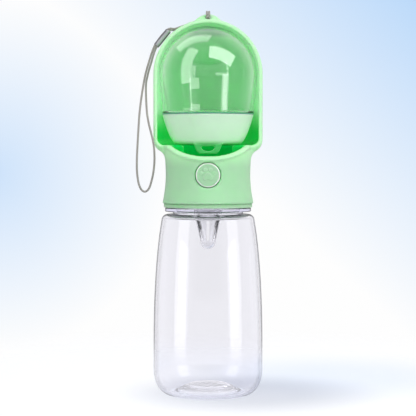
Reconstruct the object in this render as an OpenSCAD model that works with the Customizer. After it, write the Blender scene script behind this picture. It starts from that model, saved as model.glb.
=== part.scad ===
// Dog travel water bottle: a clear bottle with a screw-on drinking head, a push-button
// valve and a pull-out food capsule. Z is up, the front (button side) faces -Y and the
// origin is the centre of the foot.

/* [Bottle] */
// Largest outer radius of the bottle
bottle_r = 38.7; // [37:0.1:42]
// Height of the top of the shoulder
shoulder_z = 128.2; // [118:0.1:160]
// Outer radius where the shoulder starts to turn in
shoulder_r = 33; // [32.5:0.1:34]
// Radius of the shoulder's corner
shoulder_round = 4.5; // [3:0.1:5]
// Wall of the bottle
bottle_wall = 1.8; // [1.2:0.1:2.4]
// Middle radius of the ring that the bottle stands on
foot_r = 25; // [23:0.1:26]
// Width of the ring that the bottle stands on
foot_w = 4; // [3:0.1:5]
// Height of the rounded heel
heel_h = 17; // [12:0.1:22]
// Height of the pushed-up base
punt_h = 7; // [4:0.1:10]
// Wall of the screw neck
finish_wall = 2.2; // [1.8:0.1:3]
// Plain neck between the shoulder and the support ring
finish_gap = 1.8; // [1:0.1:3]
// Thickness of the support ring
support_t = 2.7; // [2:0.1:3.5]
// Height of the neck above the support ring
finish_h = 9.3; // [8:0.1:10]

/* [Cap] */
// Radial clearance between the bottle's neck and the cap
thread_gap = 0.3; // [0.2:0.05:0.4]
// Wall of the cap's threaded skirt
cap_wall = 2.2; // [1.8:0.1:2.8]
// Gap between the bottle's support ring and the cap
cap_gap = 0.3; // [0.2:0.1:0.8]
// Thickness of the cap's visible band
band_t = 2.5; // [2:0.1:3]
// Step from the head's skirt in to the band
band_inset = 1.1; // [0.6:0.1:1.6]
// Step from the band in to the support ring
support_inset = 0.8; // [0.4:0.1:1.2]
// Thickness of the sealing ring on the bottle's mouth
gasket_t = 1; // [0.8:0.1:1.4]
// Width of the sealing ring
gasket_w = 3.8; // [2.6:0.1:5]
// Thickness of the cap's deck
deck_t = 2.2; // [1.8:0.1:2.6]

/* [Head] */
// Outer radius at the bottom of the head's skirt
skirt_r = 32.4; // [31.8:0.1:34]
// Outer radius at the waist, level with the button
waist_r = 30; // [29:0.1:30.6]
// Outer radius of the neck under the lip
lip_r = 31.2; // [30.8:0.1:32]
// Wall of the head's neck
head_wall = 2.4; // [2:0.1:2.8]
// Clearance between pieces that are pushed into each other
fit = 0.3; // [0.2:0.05:0.4]
// Height of the button's axis above the skirt's edge
button_rise = 20.5; // [20.2:0.1:22]
// Gap between the button's guide and the trough's floor
guide_gap = 0.2; // [0.1:0.1:1]
// Thickness of the trough's floor
floor_t = 1.6; // [1.2:0.1:2.4]
// Depth of the trough below the hood's floor
trough_depth = 9.1; // [9:0.1:12]
// How far the front of the lip dips below the hood's floor
lip_dip = 9; // [8.4:0.1:9.1]
// Slope of the lip, in degrees
lip_slope = 26; // [24:1:34]
// Height of the raised band under the lip
lip_band = 2.2; // [1.6:0.1:4]
// How far that band stands out of the neck
lip_proud = 1; // [0.6:0.1:1.4]
// Wall at the lip
lip_wall = 2.8; // [2.2:0.1:3.4]
// Width of the seat that carries the food capsule
seat_w = 2.3; // [1.5:0.1:4]

/* [Hood] */
// Outer radius of the hood
hood_r = 38.7; // [37.5:0.1:42]
// Wall of the hood
hood_wall = 2.5; // [2:0.1:3]
// Height from the hood's floor to the centre of its round top
hood_h = 50.2; // [49.8:0.1:60]
// Distance of the opening in front of the axis
hood_cut = 6; // [3:0.1:9]
// Radius of the bead round the opening
rim_r = 1.5; // [1.4:0.05:1.6]
// Radius between the hood's floor and its side
floor_round = 5; // [3:0.1:6]
// Width of the lanyard's ear
ear_w = 24; // [20:0.1:26]
// Thickness of the ear
ear_t = 2.6; // [2:0.1:2.8]
// How far the ear stands above the hood's crown
ear_rise = 4.2; // [4.1:0.1:4.5]
// Distance of the ear behind the axis
ear_y = 6; // [5.9:0.1:6.1]
// Diameter of the ear's hole
ear_hole_d = 3.4; // [3.2:0.1:3.6]

/* [Food capsule] */
// Gap between the dome and the inside of the hood
dome_gap = 1.6; // [1.4:0.1:2.8]
// Wall of the dome
dome_wall = 1.8; // [1.4:0.1:2.4]
// Height of the dome's side, from the seal to the centre of its round top
dome_side_h = 27.3; // [20:0.1:28]
// How much narrower the dome is at its foot
dome_taper = 2.2; // [1:0.1:2.4]
// Depth of the dome's spigot in the bowl
spigot_h = 3.8; // [3.4:0.1:5]
// Wall of the bowl
bowl_wall = 1.8; // [1.4:0.1:2.4]
// Wall of the bowl's rim
bowl_rim_w = 2.4; // [2.2:0.1:3]
// Height of the bowl
bowl_h = 21.2; // [18:0.1:22]
// Radius of the flat that the bowl stands on
bowl_foot_r = 21.8; // [20:0.1:23]
// Radius of the bowl's lower corner
bowl_round = 4.5; // [3:0.1:6]
// How far the bowl's side leans in below its rim
bowl_slant = 2.5; // [0.6:0.1:3]
// Thickness of the seal between bowl and dome
seal_t = 0.8; // [0.5:0.1:1.2]
// Width of that seal
seal_w = 1.9; // [1.4:0.1:2.2]
// Height of a bayonet lug
lug_h = 1.3; // [1:0.1:1.6]
// How far a lug stands out of the spigot
lug_out = 1; // [0.7:0.1:1.2]
// Turn that frees the dome, in degrees
lug_turn = 25; // [20:1:40]
// Width of the finger loop where it leaves the bowl
loop_w = 20.5; // [18:0.1:21]
// Width of the finger loop at its lower edge
loop_tip_w = 14; // [12:0.1:15]
// How far the finger loop hangs below the bowl
loop_drop = 6.5; // [6:0.1:7]
// Thickness of the finger loop
loop_t = 3; // [2:0.1:4]
// Width of the hole in the finger loop
loop_hole_w = 10; // [8:0.1:10.5]
// Height of the hole in the finger loop
loop_hole_h = 3.6; // [3:0.1:4]
// Distance of the finger loop in front of the axis
loop_y = 20.5; // [19:0.1:21]

/* [Button and valve] */
// Diameter of the button
button_d = 17; // [16.4:0.1:17.4]
// Gap round the button
button_gap = 0.4; // [0.3:0.1:0.5]
// How far the button's face stands out of the neck
button_proud = 0.6; // [0.3:0.1:1.2]
// Depth of the button
button_deep = 7; // [6:0.1:8]
// Wall of the button
button_wall = 1.5; // [1.2:0.1:2]
// Wall of the guide that the button slides in
guide_wall = 1.2; // [1:0.1:1.2]
// Travel of the button
button_travel = 3; // [2:0.1:4]
// Diameter of the valve's stem
stem_d = 4; // [3.6:0.1:4.4]
// Radial running clearance of the stem
stem_gap = 0.05; // [0.02:0.01:0.08]
// Diameter of the hole in the valve's seat
seat_d = 6; // [5.6:0.1:6.2]
// Thickness of the valve's rubber seal
seal_disc_t = 1.6; // [1.2:0.1:2]
// How far the rubber seal covers the seat's edge
seal_lap = 1.4; // [1:0.1:1.6]
// Radius of the chamber on the trough's side of the seat
front_chamber_r = 4.5; // [4:0.1:4.8]
// Radius of the chamber on the bottle's side of the seat
rear_chamber_r = 6; // [5.8:0.1:6.1]
// Length of the front chamber
front_chamber_l = 8; // [7:0.1:9]
// Length of the rear chamber
rear_chamber_l = 9; // [8.6:0.1:10]
// Length of the stem's guide and its seal
guide_l = 6; // [5:0.1:7]
// Wall of the valve's barrel
barrel_wall = 1.6; // [1.4:0.1:1.8]
// Thickness of the ring that carries the seat
seat_t = 2; // [1.6:0.1:2.4]
// Section diameter of the stem's ring seal
stem_ring_d = 1.5; // [1.3:0.1:1.6]
// Thickness of the washer under the spring
washer_t = 1; // [0.8:0.1:1.4]
// Mean radius of the spring
spring_r = 5; // [4.7:0.1:5.4]
// Wire of the spring
wire_d = 0.7; // [0.5:0.05:0.8]
// Turns of the spring
spring_turns = 6; // [5:1:7]
// Radius of the bore of the outlet up to the trough
outlet_r = 2; // [1.8:0.1:2.2]
// Thickness of the seal under the trough's floor
outlet_seal_t = 2; // [1.5:0.1:2.2]

/* [Inlet cage] */
// Outer radius of the cage where it leaves the neck
cage_r = 9.9; // [9.8:0.05:10.2]
// Outer radius of the cage near its tip
cage_tip_r = 5.6; // [5.2:0.1:6]
// Wall of the cage
cage_wall = 1.4; // [1.2:0.1:1.5]
// Height of the cage's round tip
cage_tip_h = 6; // [5:0.1:7]
// Length of the tapered part
cage_cone_h = 19; // [16:0.1:22]
// Number of slots
cage_slots = 6; // [4:1:8]
// Width of a slot
cage_slot_w = 2.2; // [1.6:0.1:2.6]
// Width of the cage's flange
cage_flange_w = 2.4; // [2:0.1:3]
// Thickness of the cage's flange
cage_flange_t = 1.2; // [1:0.1:1.6]

/* [Lanyard] */
// Diameter of the cord
cord_d = 1.5; // [1.4:0.05:1.55]
// Outer diameter of the metal sleeve on the cord
crimp_d = 3.6; // [3.6:0.05:4]
// Wall of the metal sleeve
crimp_wall = 0.2; // [0.15:0.05:0.2]

/* [Hidden] */
$fn = 96;
far = 400;
slip = 0.1;
paw_h = 0.25;
ear_edge = 0.9;
lug_w = 8;

// heights, from the foot up
support_z = shoulder_z + finish_gap;
finish_z = support_z + support_t;
mouth_z = finish_z + finish_h;
cap_z = finish_z + cap_gap;
skirt_z = cap_z + band_t;
deck_z = mouth_z + gasket_t;
deck_top = deck_z + deck_t;
button_z = skirt_z + button_rise;
guide_r = button_d / 2 + button_gap + guide_wall;
floor_low = button_z + guide_r + guide_gap;
floor_z = floor_low + floor_t;
seat_z = floor_z + trough_depth;
crown_z = seat_z + hood_h;
bowl_z = seat_z + fit;
rim_z = bowl_z + bowl_h;
dome_z = rim_z + seal_t;
dome_mid_z = dome_z + dome_side_h;

// radii
neck_min_r = min(skirt_r, waist_r);
cap_r = neck_min_r - head_wall - fit;
cap_bore_r = cap_r - cap_wall;
finish_r = cap_bore_r - thread_gap;
finish_in_r = finish_r - finish_wall;
band_r = skirt_r - band_inset;
support_r = band_r - support_inset;
hood_in_r = hood_r - hood_wall;
dome_r = hood_in_r - dome_gap;
dome_foot_r = dome_r - dome_taper;
bowl_r = dome_foot_r;
bowl_in_r = bowl_r - bowl_rim_w;
well_r = bowl_foot_r - seat_w;
basin_r = lip_r - lip_wall;
basin_y = -10;
lip_y = -lip_r;
lip_z = seat_z - lip_dip;

// valve, along Y from its seat
seat_y = 1;
seat_front = seat_y - seat_t;
chamber_front = seat_front - front_chamber_l;
barrel_front = chamber_front - guide_l;
chamber_rear = seat_y + rear_chamber_l;
plug_t = 2;
plug_flange_t = 1.2;
plug_ring_d = 1.2;
barrel_rear = chamber_rear + plug_t;
plug_ring_y = chamber_rear + plug_t / 2;
plug_ring_r = rear_chamber_r - 0.02 - plug_ring_d / 2;
stem_r = stem_d / 2;
stem_ring_r = stem_r + stem_gap + stem_ring_d / 2;
gland_r = stem_ring_r + stem_ring_d / 2 + stem_gap;
gland_l = stem_ring_d + 2 * stem_gap;
rear_r = rear_chamber_r + barrel_wall;
front_r = front_chamber_r + barrel_wall;
outlet_y = (chamber_front + seat_front) / 2;
inlet_r = 2.6;
inlet_y = seat_y + inlet_r + 0.4;
spout_r = outlet_r + barrel_wall;
spout_foot_r = spout_r + 2.4;
barrel_spigot_r = cage_r - cage_wall - slip;
barrel_spigot_h = 4;
barrel_foot_r = barrel_spigot_r + 3;
barrel_foot_t = 2;
barrel_gasket_t = 1;
foot_z = deck_top + barrel_gasket_t;
button_face = -waist_r - button_proud;
button_in = button_face + button_wall;
washer_y = barrel_front - washer_t;
collar_t = 1.4;
collar_r = seat_d / 2 + 0.4;

// how far the hood's flare reaches below and above the hood's floor
flare_down = 10;
flare_up = 4.5;
flare_z = seat_z - flare_down;

// the tilted cut that shapes the lip
lip_run = lip_dip / tan(lip_slope);

// points of the cord, from the ear's hole round the ear, through the sleeve, down the
// loop and back into the hole
cord_route = [
    [-0.8, 5.8, 267.3], [-0.8, 4.3, 267.8], [-0.8, 3.7, 269.5], [-0.8, 4.5, 271.2],
    [-0.8, 6, 271.9], [-0.8, 7.6, 271.2], [-0.9, 8.4, 269.5], [-2.6, 8.9, 267.3],
    [-6, 9.2, 265.7], [-12, 9.2, 264.1], [-18, 8.6, 261.9], [-23.5, 7, 259.9],
    [-29, 5.5, 259], [-37.5, 3.5, 248.3], [-42.5, 1.5, 234], [-45.3, 0, 222.5],
    [-48, -4, 203], [-49.2, -7, 185], [-50.1, -9, 164], [-49.3, -9.5, 152.5],
    [-47.4, -10, 146.5], [-44.7, -10, 144.2], [-42, -10, 145.8], [-40.2, -10.2, 150],
    [-38.3, -10.5, 158.5], [-37.6, -10.5, 168.5], [-38.5, -10, 179], [-41.9, -7.5, 193],
    [-43.3, -5, 203], [-44, -0.5, 218.5], [-42.9, 1, 226], [-40.6, 2.2, 234.5],
    [-36.3, 3.5, 247.3], [-27.8, 5.5, 258], [-23, 8.8, 259.1], [-17.5, 10.7, 261.3],
    [-11.5, 11.3, 263.6], [-5.5, 11.3, 265], [-1.6, 10.6, 265.9], [0.5, 9.4, 267.6],
    [0.8, 8.4, 269.5], [0.8, 7.6, 271.2], [0.8, 6, 271.9], [0.8, 4.5, 271.2],
    [0.8, 3.7, 269.5], [0.8, 4.3, 267.8], [0.8, 6.2, 267.3]];
crimp_top = [-28.4, 5.5, 258.5];
crimp_low = [-36.9, 3.5, 247.8];

// ---- outlines ----

function arc(c, r, a0, a1, n = 12) =
    [for (i = [0:n]) let (a = a0 + (a1 - a0) * i / n) c + r * [cos(a), sin(a)]];

function oval(c, rx, ry, a0, a1, n = 12) =
    [for (i = [0:n]) let (a = a0 + (a1 - a0) * i / n) c + [rx * cos(a), ry * sin(a)]];

function bend(p0, p1, p2, p3, n = 10) =
    [for (i = [0:n]) let (t = i / n, u = 1 - t)
        u * u * u * p0 + 3 * u * u * t * p1 + 3 * u * t * t * p2 + t * t * t * p3];

function back(list) = [for (i = [len(list) - 1:-1:0]) list[i]];

// ---- cord ----

function spline(p, i, t) =
    let (a = p[max(i - 1, 0)], b = p[i], c = p[i + 1], d = p[min(i + 2, len(p) - 1)])
    0.5 * (2 * b + (c - a) * t + (2 * a - 5 * b + 4 * c - d) * t * t
        + (3 * b - a - 3 * c + d) * t * t * t);

function unit(v) = v / norm(v);

// turns a side vector so that it stays square to the next direction
function carry(side, dir) = unit(side - (side * dir) * dir);

function sides(dirs, i, side) =
    i == len(dirs) ? []
    : let (s = carry(side, dirs[i])) concat([s], sides(dirs, i + 1, s));

function tube_faces(rings, n) = concat(
    [[for (k = [0:n - 1]) k]],
    [for (i = [0:rings - 2], k = [0:n - 1])
        [i * n + k, (i + 1) * n + k, (i + 1) * n + (k + 1) % n, i * n + (k + 1) % n]],
    [[for (k = [n - 1:-1:0]) (rings - 1) * n + k]]);

module tube_along(path, d, n, side) {
    last = len(path) - 1;
    dirs = [for (i = [0:last]) unit(path[min(i + 1, last)] - path[max(i - 1, 0)])];
    s = sides(dirs, 0, side);
    pts = [for (i = [0:last], k = [0:n - 1])
        path[i] + d / 2 * (s[i] * cos(360 * k / n) + cross(dirs[i], s[i]) * sin(360 * k / n))];
    polyhedron(pts, tube_faces(len(path), n), convexity = 10);
}

// ---- bottle ----

heel = oval([foot_r + foot_w / 2, heel_h], bottle_r - foot_r - foot_w / 2, heel_h, -90, 0, 14);
heel_in = oval([foot_r + foot_w / 2, heel_h],
               bottle_r - foot_r - foot_w / 2 - bottle_wall, heel_h - bottle_wall, -90, 0, 14);
side = bend([bottle_r, shoulder_z * 0.27], [bottle_r, shoulder_z * 0.58],
            [shoulder_r + 3.3, shoulder_z * 0.82],
            [shoulder_r, shoulder_z - shoulder_round], 14);
shoulder_c = [shoulder_r - shoulder_round, shoulder_z - shoulder_round];
punt = bend([foot_r - foot_w / 2, 0], [foot_r - foot_w / 2 - 2, punt_h * 0.6],
            [foot_r * 0.5, punt_h], [0, punt_h]);

module bottle() {
    color("aliceblue", 0.35)
    rotate_extrude()
    polygon(concat(
        back(punt), heel, side, arc(shoulder_c, shoulder_round, 8, 90, 8),
        [[finish_r, shoulder_z], [finish_r, support_z], [support_r, support_z],
         [support_r, finish_z], [finish_r, finish_z], [finish_r, mouth_z],
         [finish_in_r, mouth_z], [finish_in_r, shoulder_z - bottle_wall]],
        back(arc(shoulder_c, shoulder_round - bottle_wall, 8, 90, 8)),
        back([for (p = side) p - [bottle_wall, 0]]),
        back(heel_in),
        [for (p = punt) p + [0, bottle_wall]]));
}

// ---- cap ----

module ring(r_in, r_out, z, h) {
    translate([0, 0, z])
    difference() {
        cylinder(r = r_out, h = h);
        translate([0, 0, -1]) cylinder(r = r_in, h = h + 2);
    }
}

module cap_gasket() {
    color("whitesmoke") ring(finish_r - fit - gasket_w, finish_r - fit, mouth_z, gasket_t);
}

module inner_cap() {
    color("#A9E6AE")
    difference() {
        union() {
            translate([0, 0, cap_z]) cylinder(r = band_r, h = band_t);
            translate([0, 0, cap_z]) cylinder(r = cap_r, h = deck_top - cap_z);
        }
        translate([0, 0, cap_z - 1]) cylinder(r = cap_bore_r, h = deck_z - cap_z + 1);
        translate([0, 0, deck_z - 1]) cylinder(r = barrel_spigot_r + slip, h = deck_t + 2);
    }
}

// ---- inlet cage ----

module inlet_cage() {
    tip_z = shoulder_z - cage_cone_h;
    outer = concat(
        [[cage_r + cage_flange_w, deck_z], [cage_r + cage_flange_w, deck_z - cage_flange_t],
         [cage_r, deck_z - cage_flange_t], [cage_r, shoulder_z]],
        back(oval([0, tip_z], cage_tip_r, cage_tip_h, -90, 0, 10)));
    inner = concat(
        oval([0, tip_z], cage_tip_r - cage_wall, cage_tip_h - cage_wall, -90, 0, 10),
        [[cage_r - cage_wall, shoulder_z], [cage_r - cage_wall, deck_z]]);
    color("aliceblue", 0.5)
    difference() {
        rotate_extrude() polygon(concat(outer, inner));
        for (k = [0:cage_slots - 1])
            rotate([0, 0, (k + 0.5) * 360 / cage_slots])
            translate([0, -cage_slot_w / 2, tip_z])
            cube([cage_r + 1, cage_slot_w, cage_cone_h - 3]);
    }
}

// ---- head ----

neck_low = bend([skirt_r, skirt_z], [waist_r + 0.7, skirt_z + button_rise * 0.38],
                [waist_r, skirt_z + button_rise * 0.7], [waist_r, button_z]);
neck_high = bend([waist_r, button_z], [waist_r, button_z + 7],
                 [lip_r - 0.6, seat_z - 7], [lip_r, seat_z]);
flare_turn = [hood_r - 4.1, seat_z - 3.8];
flare = concat(
    bend([waist_r + 0.5, flare_z], [waist_r + 0.8, flare_z + 4],
         flare_turn - [1.6, 1], flare_turn, 6),
    bend(flare_turn, flare_turn + [2.6, 1.6], [hood_r, seat_z + 0.5],
         [hood_r, seat_z + flare_up], 8));

// the half space in front of the hood's opening
module front() {
    translate([-far / 2, -far - hood_cut, -far / 2]) cube([far, far, 2 * far]);
}

// everything above the tilted plane of the lip
module above_lip() {
    translate([0, lip_y, lip_z])
    rotate([lip_slope, 0, 0])
    translate([-far / 2, -far / 2, 0])
    cube([far, far, far / 2]);
}

// the neck up to the level of the hood's floor, with the band under the lip
module neck_outside() {
    rotate_extrude() polygon(concat([[0, skirt_z]], neck_low, neck_high, [[0, seat_z]]));
    intersection() {
        translate([0, 0, skirt_z]) cylinder(r = lip_r + lip_proud, h = seat_z - skirt_z);
        front();
        union() {
            translate([0, 0, -lip_band]) above_lip();
            translate([-far / 2, lip_y + lip_run, seat_z - lip_band]) cube([far, far, far]);
        }
    }
}

module neck_hollow() {
    rotate_extrude()
    polygon(concat([[0, skirt_z - 1], [skirt_r - head_wall, skirt_z - 1]],
                   [for (p = neck_low) p - [head_wall, 0]],
                   [[waist_r - head_wall, floor_low], [0, floor_low]]));
    // hollow under the seat, behind the trough's front
    intersection() {
        ring(well_r + head_wall, waist_r - head_wall, floor_low - 1, trough_depth + floor_t - 1.4);
        translate([-far / 2, basin_y + head_wall, 0]) cube([far, far, far]);
    }
}

// the hood and its flare, as a full turn
module hood_outside() {
    rotate_extrude()
    polygon(concat([[0, flare_z]], flare, arc([0, crown_z], hood_r, 0, 90, 24)));
}

module hood_cavity() {
    rotate_extrude()
    polygon(concat([[0, seat_z]],
                   arc([hood_in_r - floor_round, seat_z + floor_round], floor_round, -90, 0, 8),
                   arc([0, crown_z], hood_in_r, 0, 90, 24)));
}

// drinking trough: a round well, open to a basin behind the lip
module trough() {
    translate([0, 0, floor_z]) cylinder(r = well_r, h = trough_depth + 1);
    intersection() {
        translate([0, 0, floor_z]) cylinder(r = basin_r, h = trough_depth + 1);
        translate([-far / 2, basin_y - far, 0]) cube([far, far, far]);
    }
}

// a quarter of a ring of the bead, standing in the plane of the opening
module bead_turn(r, angle) {
    rotate([90, 0, 0])
    rotate_extrude(angle = angle)
    translate([r, 0])
    circle(r = rim_r, $fn = 32);
}

// bead round the opening: an arch, two sides and two lower corners
module rim_bead() {
    bead_x = (sqrt(hood_r * hood_r - hood_cut * hood_cut)
              + sqrt(hood_in_r * hood_in_r - hood_cut * hood_cut)) / 2;
    turn_r = floor_round + rim_r / 2;
    turn_z = seat_z - rim_r + turn_r;
    translate([0, -hood_cut, 0]) {
        translate([0, 0, crown_z]) bead_turn(bead_x, 180);
        for (s = [0, 1]) mirror([s, 0, 0]) {
            translate([bead_x, 0, turn_z]) cylinder(r = rim_r, h = crown_z - turn_z, $fn = 32);
            translate([bead_x - turn_r, 0, turn_z]) mirror([0, 0, 1]) bead_turn(turn_r, 90);
        }
    }
}

// cylinder along Y between two stations
module y_rod(r, y0, y1) {
    translate([0, y1, 0])
    rotate([90, 0, 0])
    cylinder(r = r, h = y1 - y0);
}

module head_shell() {
    ear_top = crown_z + hood_r + ear_rise;
    guide_end = button_face + button_deep + 1;
    color("#9FDBA4")
    difference() {
        union() {
            difference() {
                union() {
                    neck_outside();
                    difference() {
                        hood_outside();
                        front();
                    }
                    translate([0, ear_y, ear_top - ear_w / 2]) y_rod(ear_w / 2, -ear_t / 2, ear_t / 2);
                }
                hood_cavity();
                intersection() {
                    above_lip();
                    front();
                }
                neck_hollow();
            }
            rim_bead();
            translate([0, 0, button_z]) y_rod(guide_r, head_wall - waist_r, guide_end);
        }
        trough();
        translate([0, 0, button_z]) y_rod(button_d / 2 + button_gap, -2 * waist_r, guide_end + 1);
        translate([0, outlet_y, floor_low - 1]) cylinder(r = spout_r + slip, h = floor_t + 2);
        translate([0, ear_y, ear_top - ear_edge - ear_hole_d / 2]) y_rod(ear_hole_d / 2, -ear_t, ear_t);
    }
}

// ---- valve ----

module valve_barrel() {
    spout_top = floor_z;
    spout_shoulder = floor_low - outlet_seal_t;
    color("honeydew")
    difference() {
        union() {
            translate([0, 0, button_z]) {
                y_rod(front_r, barrel_front, seat_y);
                y_rod(rear_r, seat_front, barrel_rear);
            }
            translate([0, 0, foot_z]) cylinder(r = barrel_foot_r, h = barrel_foot_t);
            translate([0, 0, deck_z - barrel_spigot_h]) cylinder(r = barrel_spigot_r, h = button_z - deck_z);
            translate([0, outlet_y, button_z]) cylinder(r = spout_foot_r, h = spout_shoulder - button_z);
            translate([0, outlet_y, button_z]) cylinder(r = spout_r, h = spout_top - button_z);
        }
        translate([0, 0, button_z]) {
            y_rod(stem_r + stem_gap, barrel_front - 1, seat_front);
            y_rod(gland_r, barrel_front - 1, barrel_front + gland_l);
            y_rod(front_chamber_r, chamber_front, seat_front);
            y_rod(seat_d / 2, seat_front - 1, seat_y + 1);
            y_rod(rear_chamber_r, seat_y, barrel_rear + 1);
        }
        translate([0, outlet_y, button_z]) cylinder(r = outlet_r, h = spout_top - button_z + 1);
        translate([0, 0, deck_z - barrel_spigot_h - 1])
            cylinder(r = barrel_spigot_r - barrel_wall, h = foot_z - deck_z + barrel_spigot_h + 1);
        translate([0, inlet_y, foot_z - 1]) cylinder(r = inlet_r, h = button_z - foot_z + 1);
    }
}

module barrel_gasket() {
    color("whitesmoke") ring(barrel_spigot_r + slip, barrel_foot_r, deck_top, barrel_gasket_t);
}

module barrel_plug() {
    color("honeydew")
    translate([0, 0, button_z])
    difference() {
        union() {
            y_rod(rear_chamber_r - slip, chamber_rear, barrel_rear);
            y_rod(rear_r, barrel_rear, barrel_rear + plug_flange_t);
        }
        difference() {
            y_rod(rear_r, plug_ring_y - plug_ring_d / 2 - slip, plug_ring_y + plug_ring_d / 2 + slip);
            y_rod(plug_ring_r - plug_ring_d / 2 - 0.02, chamber_rear - 1, barrel_rear + 1);
        }
    }
}

module y_torus(r, d, y) {
    translate([0, y, button_z])
    rotate([90, 0, 0])
    rotate_extrude()
    translate([r, 0])
    circle(d = d, $fn = 24);
}

module stem_oring() {
    color("dimgray") y_torus(stem_ring_r, stem_ring_d, barrel_front + gland_l / 2);
}

module gland_washer() {
    color("silver")
    translate([0, 0, button_z])
    difference() {
        y_rod(spring_r + wire_d / 2 + fit, washer_y, barrel_front);
        y_rod(stem_r + fit, washer_y - 1, barrel_front + 1);
    }
}

module outlet_seal() {
    color("whitesmoke")
    translate([0, outlet_y, 0])
    ring(spout_r + slip, spout_foot_r, floor_low - outlet_seal_t, outlet_seal_t);
}

// closed coil spring between the washer and the button
module button_spring() {
    steps = 14;
    low = washer_y - wire_d / 2 - 0.05;
    high = button_in + wire_d / 2 + 0.05;
    n = steps * spring_turns;
    path = [for (i = [0:n]) let (a = 360 * i / steps)
        [spring_r * cos(a), low + (high - low) * i / n, button_z + spring_r * sin(a)]];
    color("silver") tube_along(path, wire_d, 6, [1, 0, 0]);
}

// paw print of one pad and four toes, raised on the button's face
module paw(depth) {
    y_rod(2.3, -depth, 0.5);
    for (s = [-1, 1]) {
        translate([s * 1.9, 0, -1.4]) y_rod(1.5, -depth, 0.5);
        translate([s * 1.8, 0, 4.3]) y_rod(1.25, -depth, 0.5);
        translate([s * 4.7, 0, 1.9]) y_rod(1.15, -depth, 0.5);
    }
}

module button() {
    r = button_d / 2;
    bevel = 0.6;
    color("#A6DFAB")
    translate([0, 0, button_z])
    difference() {
        union() {
            y_rod(r, button_face + bevel, button_face + button_deep);
            translate([0, button_face + bevel, 0]) rotate([90, 0, 0])
                cylinder(r1 = r, r2 = r - bevel, h = bevel);
            translate([0, button_face, -0.6]) paw(paw_h);
        }
        difference() {
            y_rod(r - button_wall, button_in, button_face + button_deep + 1);
            y_rod(stem_r + button_wall, button_in - 1, button_face + button_deep);
        }
        y_rod(stem_r + 0.02, button_in, button_face + button_deep + 1);
    }
}

module valve_stem() {
    collar_y = seat_y + seal_disc_t;
    color("gainsboro")
    translate([0, 0, button_z]) {
        y_rod(stem_r, button_in, collar_y + collar_t);
        y_rod(collar_r, collar_y, collar_y + collar_t);
    }
}

module valve_seal() {
    color("dimgray")
    translate([0, 0, button_z])
    difference() {
        y_rod(seat_d / 2 + seal_lap, seat_y, seat_y + seal_disc_t);
        y_rod(stem_r + 0.02, seat_y - 1, seat_y + seal_disc_t + 1);
    }
}

module plug_oring() {
    color("dimgray") y_torus(plug_ring_r, plug_ring_d, plug_ring_y);
}

// ---- food capsule ----

bowl_side = bend([bowl_foot_r, bowl_z], [bowl_foot_r + bowl_round, bowl_z + 0.9],
                 [bowl_r - bowl_slant, rim_z - bowl_h * 0.4], [bowl_r, rim_z], 14);
bowl_inside = bend([bowl_foot_r - 0.5, bowl_z + bowl_wall],
                   [bowl_foot_r + bowl_round - 1.3, bowl_z + bowl_wall + 0.9],
                   [bowl_in_r - bowl_slant, rim_z - bowl_h * 0.43],
                   [bowl_in_r, rim_z - spigot_h - 1.2], 12);
bayonet_r = bowl_in_r - fit;
lug_z = dome_z - spigot_h + 0.3;

// flat loop under the bowl that a finger pulls, with a half-round hole
module finger_loop() {
    hole_z = bowl_z - 1.2;
    tip_x = loop_tip_w / 2;
    translate([0, loop_t / 2 - loop_y, 0])
    rotate([90, 0, 0])
    linear_extrude(loop_t)
    difference() {
        polygon([[-loop_w / 2, bowl_z + 1], [-tip_x - 1, bowl_z - loop_drop + 2],
                 [1 - tip_x, bowl_z - loop_drop], [tip_x - 1, bowl_z - loop_drop],
                 [tip_x + 1, bowl_z - loop_drop + 2], [loop_w / 2, bowl_z + 1]]);
        polygon(oval([0, hole_z], loop_hole_w / 2, loop_hole_h, 180, 360, 16));
    }
}

module bowl() {
    groove_z = lug_z - 0.15;
    groove_h = lug_h + 0.3;
    groove_r = bayonet_r + lug_out + fit;
    color("#BFEBC4")
    difference() {
        union() {
            rotate_extrude()
            polygon(concat([[0, bowl_z]], bowl_side, [[0, rim_z]]));
            finger_loop();
        }
        rotate_extrude()
        polygon(concat([[0, bowl_z + bowl_wall]], bowl_inside,
                       [[bowl_in_r, rim_z + 1], [0, rim_z + 1]]));
        translate([0, 0, groove_z]) cylinder(r = groove_r, h = groove_h);
        // slots that let the dome's lugs down into the groove
        for (k = [0:2]) rotate([0, 0, 120 * k + lug_turn])
            translate([bowl_in_r - 2, -lug_w / 2 - 1, groove_z + groove_h / 2])
            cube([bayonet_r + lug_out + slip - bowl_in_r + 2, lug_w + 2, spigot_h]);
    }
}

module dome_seal() {
    color("darkcyan") ring(bowl_r - seal_w - 0.1, bowl_r - 0.1, rim_z, seal_t);
}

module dome_cup() {
    side_out = bend([dome_foot_r, dome_z], [dome_foot_r + 0.1, dome_z + dome_side_h * 0.3],
                    [dome_r, dome_z + dome_side_h * 0.6], [dome_r, dome_mid_z], 8);
    color("white", 0.35) {
        rotate_extrude()
        polygon(concat(
            [[bayonet_r - dome_wall, dome_z - spigot_h], [bayonet_r, dome_z - spigot_h],
             [bayonet_r, dome_z]],
            side_out, arc([0, dome_mid_z], dome_r, 4, 90, 22),
            back(arc([0, dome_mid_z], dome_r - dome_wall, 4, 90, 22)),
            [for (p = back(side_out)) if (p[1] > dome_z + 3) p - [dome_wall, 0]]));
        for (k = [0:2]) rotate([0, 0, 120 * k])
            intersection() {
                ring(bayonet_r - 0.5, bayonet_r + lug_out, lug_z, lug_h);
                translate([0, -lug_w / 2, 0]) cube([far, lug_w, far]);
            }
    }
}

// ---- lanyard ----

cord_path = [for (i = [0:len(cord_route) - 2], t = [0, 0.5]) spline(cord_route, i, t)];

module lanyard_cord() {
    color("gray") tube_along(concat(cord_path, [cord_route[len(cord_route) - 1]]), cord_d, 8, [1, 0, 0]);
}

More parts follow.
